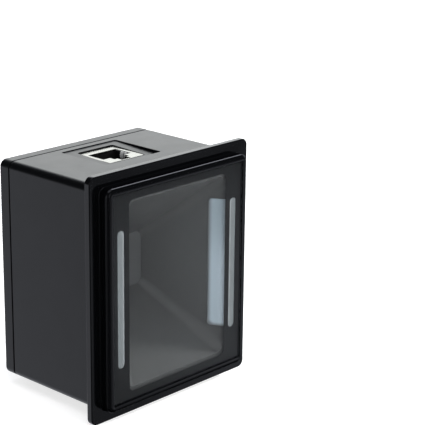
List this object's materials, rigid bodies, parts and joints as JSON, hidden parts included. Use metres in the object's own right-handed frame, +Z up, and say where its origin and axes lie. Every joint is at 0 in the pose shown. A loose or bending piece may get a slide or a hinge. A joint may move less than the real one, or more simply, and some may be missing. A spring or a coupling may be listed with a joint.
{
  "type": "fixed barcode reader",
  "caption": "Panel-mount barcode reader: black box with a front flange, raised rim, glass window with light bars over a funnel and camera, and a modular connector on top.",
  "frame": {"origin": "middle of the bounding box's bottom: level with the flange's lower edge, half way through the depth, on the left-right centre plane", "axes": "+Z up; the window faces -Y and the rear cover faces +Y; +X is to the right seen from the front"},
  "size_m": [0.067, 0.0476, 0.0768],
  "materials": {
    "housing_black": "fine moulded texture",
    "cover_black": "fine moulded texture",
    "clear_glass": "polished, clear",
    "mask_black": "black print behind glass",
    "tape_black": "adhesive foam",
    "baffle_grey": "smooth, half gloss",
    "bar_white": "translucent white",
    "diffuser_milky": "milky, slightly blue",
    "board_green": "solder mask",
    "led_yellow": "phosphor under clear resin",
    "bracket_dark": "moulded",
    "lens_glass": "coated lens",
    "chip_black": "moulded",
    "plastic_cream": "moulded",
    "flex_amber": "polyimide film",
    "cable_black": "smooth sheath",
    "screw_steel": "plated",
    "shield_nickel": "bright nickel plate",
    "insert_black": "moulded",
    "contact_gold": "gold plate"
  },
  "bodies": {
    "root": {"housing": "housing_black", "rear_cover": "cover_black", "window_glass": "clear_glass", "window_mask": "mask_black", "window_tape": "tape_black", "optical_baffle": "baffle_grey", "light_bar_left": "bar_white", "light_bar_right": "bar_white", "diffuser_left": "diffuser_milky", "diffuser_right": "diffuser_milky", "led_board_left": "board_green", "led_board_right": "board_green", "light_led_left_1": "led_yellow", "light_led_left_2": "led_yellow", "light_led_left_3": "led_yellow", "light_led_right_1": "led_yellow", "light_led_right_2": "led_yellow", "light_led_right_3": "led_yellow", "status_led_left_1": "led_yellow", "status_led_left_2": "led_yellow", "status_led_right_1": "led_yellow", "status_led_right_2": "led_yellow", "camera_bracket": "bracket_dark", "lens_holder": "bracket_dark", "lens_barrel": "screw_steel", "lens_element": "lens_glass", "image_sensor": "chip_black", "camera_board": "board_green", "camera_screw_1": "screw_steel", "camera_screw_2": "screw_steel", "camera_flex": "flex_amber", "flex_connector": "plastic_cream", "main_board": "board_green", "processor": "chip_black", "memory_chip": "chip_black", "buzzer": "bracket_dark", "cable_connector_left": "plastic_cream", "cable_connector_right": "plastic_cream", "led_cable_left": "cable_black", "led_cable_right": "cable_black", "board_screw_1": "screw_steel", "board_screw_2": "screw_steel", "board_screw_3": "screw_steel", "board_screw_4": "screw_steel", "jack_shield": "shield_nickel", "jack_insert": "insert_black", "jack_contact_1": "contact_gold", "jack_contact_2": "contact_gold", "jack_contact_3": "contact_gold", "jack_contact_4": "contact_gold", "jack_contact_5": "contact_gold", "jack_contact_6": "contact_gold", "jack_contact_7": "contact_gold", "jack_contact_8": "contact_gold", "cover_screw_1": "screw_steel", "cover_screw_2": "screw_steel", "cover_screw_3": "screw_steel", "cover_screw_4": "screw_steel"}
  },
  "joints": []
}
